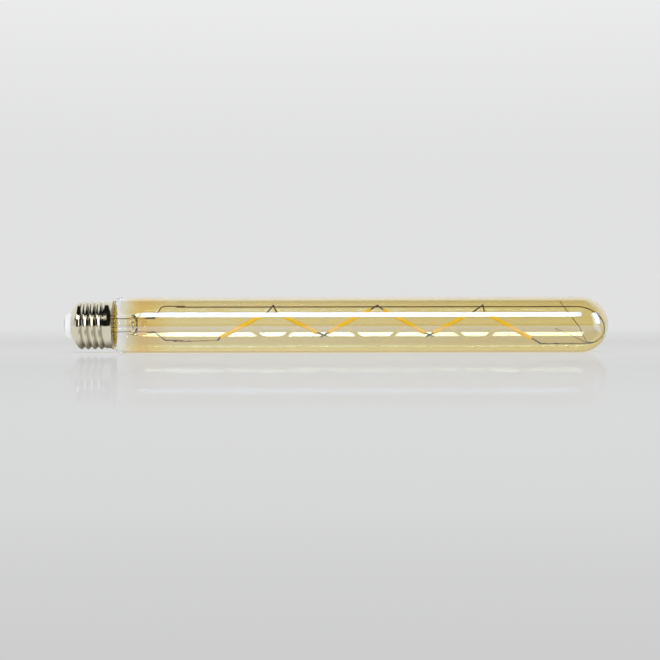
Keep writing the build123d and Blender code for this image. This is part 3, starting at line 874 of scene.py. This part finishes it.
class LAMP_OT_studio(bpy.types.Operator):
    """Set the floor, the softboxes, the surroundings and the camera"""

    bl_idname = "lamp.studio"
    bl_label = "Studio"

    # The point that the camera looks at.
    aim = (0.14305, 0.0, -0.0028)

    # Where one tone of the floor gives way to another, from and to, in metres.
    camera_shade = (0.03, 0.16)
    far_floor = (-0.30, 0.03)
    lit_start = (-0.010, 0.020)
    lit_end = 0.265
    lit_side = (0.008, 0.016)
    tube_run_in = 0.008
    tube_shade = (0.022, 0.046)
    amber_side = (0.0095, 0.0125)
    contact_side = (0.0045, 0.0080)
    cap_start = (-0.008, 0.010)
    cap_side = (0.002, 0.012)
    dark_front = (-0.20, -0.14)
    sheen_start = (0.03, 0.05)
    polish_grows = (-0.46, -0.15)

    # The side softbox's sheen on the floor lies between these slopes of y over x from the dome.
    sheen_slopes = (-0.93, -0.19)

    # The share of the floor's polish that is left near the camera.
    near_polish = 0.35

    # Where one tone of the surroundings gives way to another, as a part of a unit direction.
    backdrop_rise = (0.09, 0.26)
    backdrop_edge = (-0.0145, -0.003)
    behind_lamp = (-0.05, 0.3)
    overhead = (0.80, 0.92)
    below_floor = (-0.04, 0.0)
    room_ends = (0.97, 0.985)

    # How pale the room is at its ends, and to a mirroring surface seen through glass.
    ends_share = 0.8
    glass_share = 0.4

    def floor_paint(self, look, finish):
        """The floor as the eye sees it: shaded by the camera, pale far off, lit under the tube."""
        aside = finish.x - self.aim[0]
        ahead = finish.y + look.distance
        from_camera = (aside * aside + ahead * ahead) ** 0.5
        unshaded = finish.step(from_camera, *self.camera_shade)
        paint = finish.mix(unshaded, look.floor_near, look.floor)
        paint = finish.mix(finish.step(finish.y, *self.far_floor), paint, look.floor_far)
        past_end = finish.step(finish.x, self.lit_end, glass_high.x)
        beside = finish.step(finish.x, *self.lit_start) * (1 - past_end)
        close = 1 - finish.step(abs(finish.y), *self.lit_side)
        return finish.mix(beside * close, paint, look.floor_lit)

    def floor_tone(self, look, finish):
        """The floor as glass and metal mirror it: shaded and amber by the lamp, dark in front."""
        away = abs(finish.y)
        by_tube = finish.step(finish.x, shell_high.x, shell_high.x + self.tube_run_in)
        shaded = by_tube * (1 - finish.step(away, *self.tube_shade))
        tone = finish.mix(shaded, look.floor_mirrored, look.floor_shaded)
        # Painted shade where the tube rests, inside the amber light under it.
        off_contact = finish.step(away, *self.contact_side)
        amber = finish.mix(off_contact, look.floor_contact_shade, look.floor_amber)
        under_tube = by_tube * (1 - finish.step(away, *self.amber_side))
        tone = finish.mix(under_tube, tone, amber)
        by_cap = finish.step(finish.x, *self.cap_start) * (1 - by_tube)
        under_cap = by_cap * (1 - finish.step(away, *self.cap_side))
        tone = finish.mix(under_cap, tone, look.floor_under_cap)
        tone = finish.mix(finish.step(finish.y, *self.dark_front), grey(look.dark_room), tone)
        past_dome = finish.x - (glass_high.x - glass_high.z)
        slope = finish.y / past_dome
        sheen = finish.step(past_dome, *self.sheen_start)
        sheen = sheen * finish.window(slope, *self.sheen_slopes)
        return finish.mix(sheen, tone, grey(look.side_glare))

    def floor(self, look):
        """Pale floor with a faint mirror image, which metal and glass see in tones of its own."""
        left, front = -1.6, -2.2
        right, back = 1.9, look.floor_depth
        sides = [(left, front), (right, front), (right, back), (left, back)]
        mesh = bpy.data.meshes.new("floor")
        mesh.from_pydata([(x, y, glass_low.z) for x, y in sides], [], [(0, 1, 2, 3)])
        finish = Finish("pale_floor")
        glossy_depth, diffuse_depth = finish.light_path("Glossy Depth", "Diffuse Depth")
        mirrored = glossy_depth.below(1.0)
        dull = (1 - mirrored) * diffuse_depth.below(1.0)
        straight = 1 - mirrored - dull
        paint = self.floor_paint(look, finish)
        matt = finish.surface(Base_Color=paint, Roughness=0.7, Specular_IOR_Level=0.0)
        shown = finish.mix(dull, paint, grey(look.floor_bounce))
        shown = finish.mix(mirrored, shown, self.floor_tone(look, finish))
        even = finish.node("ShaderNodeEmission", {}, {"Color": shown})
        body = finish.blend(mirrored + dull + straight * look.floor_even, matt, even)
        mirror = finish.node(
            "ShaderNodeBsdfGlossy", {}, {"Color": (1, 1, 1, 1), "Roughness": 0.03}
        )
        far = finish.step(finish.y, *self.polish_grows)
        polish = look.floor_mirror * (self.near_polish + (1 - self.near_polish) * far)
        mesh.materials.append(finish.done(finish.blend(straight * polish, body, mirror)))
        floor = bpy.data.objects.new("floor", mesh)
        bpy.context.scene.collection.objects.link(floor)
        return floor

    def softbox(self, name, place, towards, size, power):
        """A rectangular lamp that faces a point and isn't seen by the camera."""
        light = bpy.data.lights.new(name, "AREA")
        light.shape = "RECTANGLE"
        light.size, light.size_y = size
        light.energy = power
        lamp = bpy.data.objects.new(name, light)
        lamp.location = place
        view = Vector(towards) - Vector(place)
        lamp.rotation_euler = view.to_track_quat("-Z", "Y").to_euler()
        lamp.visible_camera = False
        bpy.context.scene.collection.objects.link(lamp)
        return lamp

    def glare_box(self, name, place, towards, size, brightness, passed_over):
        """A softbox that the lamp's glass and metal mirror, and what is passed over doesn't."""
        lamp = self.softbox(name, place, towards, size, pi * size[0] * size[1] * brightness)
        lamp.visible_diffuse = False
        lamp.light_linking.receiver_collection = passed_over

    def surroundings(self, look):
        """Pale backdrop to the eye. To metal, a dark room that is pale behind the lamp."""
        world = bpy.data.worlds.new("studio")
        world.use_nodes = True
        bpy.context.scene.world = world
        tree = Tree(world.node_tree)
        tree.tree.nodes.clear()
        x, y, z = tree.split(tree.node("ShaderNodeTexCoord"))
        mirrored, diffused, through_glass = tree.light_path(
            "Glossy Depth", "Diffuse Depth", "Transmission Depth"
        )
        high = tree.step(z, *self.backdrop_rise)
        backdrop = tree.mix(high, look.backdrop_low, look.backdrop_high)
        above_foot = tree.step(z, *self.backdrop_edge)
        backdrop = tree.mix(above_foot, look.backdrop_foot, backdrop)
        behind = tree.step(y, *self.behind_lamp) * (1 - tree.step(z, *self.overhead))
        under = 1 - tree.step(z, *self.below_floor)
        ends = tree.step(abs(x), *self.room_ends) * self.ends_share
        inside = through_glass.below(1.0) * self.glass_share
        pale = behind.above(under).above(ends).above(inside)
        room = tree.mix(pale, grey(look.dark_room), backdrop)
        seen = tree.mix(mirrored.below(1.0), backdrop, room)
        light = tree.mix(diffused.below(1.0), seen, grey(look.fill))
        shader = tree.node("ShaderNodeBackground", {}, {"Color": light})
        tree.make("ShaderNodeOutputWorld", {}, {"Surface": shader})

    def camera(self, look):
        """Camera that looks along +Y, a little down."""
        data = bpy.data.cameras.new("camera")
        data.lens = look.lens
        data.sensor_width = 36.0
        data.clip_start = 0.01
        view = bpy.data.objects.new("camera", data)
        back = Vector((0.0, -cos(look.tilt), sin(look.tilt)))
        view.location = Vector(self.aim) + back * look.distance
        view.rotation_euler = (pi / 2 - look.tilt, look.roll, 0.0)
        bpy.context.scene.collection.objects.link(view)
        bpy.context.scene.camera = view

    def execute(self, context):
        look = context.scene.lamp_studio
        passed_over = bpy.data.collections.new("passed_over")
        passed_over.objects.link(self.floor(look))
        passed_over.collection_objects[0].light_linking.link_state = "EXCLUDE"
        # Each softbox has its place, the point it faces, its width and height, and its strength.
        key_box = ((0.178, -0.653, 0.62), (0.178, 0, 0), (0.51, 0.277), look.key_power)
        self.softbox("key_softbox", *key_box).visible_glossy = False
        dome = (glass_high.x - glass_high.z, 0, 0)
        boxes = {
            "key_glare": ((0.2015, -1.09, 1.031), (0.2015, 0, 0), (0.697, 0.54), look.glare),
            "dome_glare": ((0.467, -0.075, 0.075), dome, (0.09, 0.14), look.glare),
            "side_glare": ((1.704, -0.726, 0.62), dome, (0.92, 1.25), look.side_glare),
            "cap_glare": ((-0.23, -1.05, 0.74), (0.02, 0, 0), (0.15, 0.45), look.cap_glare),
        }
        for name, box in boxes.items():
            self.glare_box(name, *box, passed_over)
        self.surroundings(look)
        self.camera(look)
        context.scene.view_settings.view_transform = "Standard"
        return {"FINISHED"}


class LAMP_PT_sidebar(bpy.types.Panel):
    """Lists the lamp's pieces and the studio"""

    bl_idname = "LAMP_PT_sidebar"
    bl_label = "Tubular lamp"
    bl_space_type = "VIEW_3D"
    bl_region_type = "UI"
    bl_category = "Lamp"

    def draw(self, context):
        for step in steps:
            self.layout.operator(step.bl_idname)


steps = (
    LAMP_OT_glass_tube,
    LAMP_OT_stem,
    LAMP_OT_cap,
    LAMP_OT_driver,
    LAMP_OT_wires,
    LAMP_OT_filaments,
    LAMP_OT_studio,
)
settings = {
    "lamp_glass": LampGlass,
    "lamp_cap": LampCap,
    "lamp_string": LampString,
    "lamp_studio": LampStudio,
}


def register():
    for group in settings.values():
        bpy.utils.register_class(group)
    for step in steps:
        bpy.utils.register_class(step)
    bpy.utils.register_class(LAMP_PT_sidebar)
    for name, group in settings.items():
        setattr(bpy.types.Scene, name, PointerProperty(type=group))


def unregister():
    for name in settings:
        delattr(bpy.types.Scene, name)
    bpy.utils.unregister_class(LAMP_PT_sidebar)
    for step in reversed(steps):
        bpy.utils.unregister_class(step)
    for group in settings.values():
        bpy.utils.unregister_class(group)


def main():
    register()
    bpy.ops.lamp.glass_tube()
    bpy.ops.lamp.stem()
    bpy.ops.lamp.cap()
    bpy.ops.lamp.driver()
    bpy.ops.lamp.wires()
    bpy.ops.lamp.filaments()
    bpy.ops.lamp.studio()


if __name__ == "__main__":
    main()
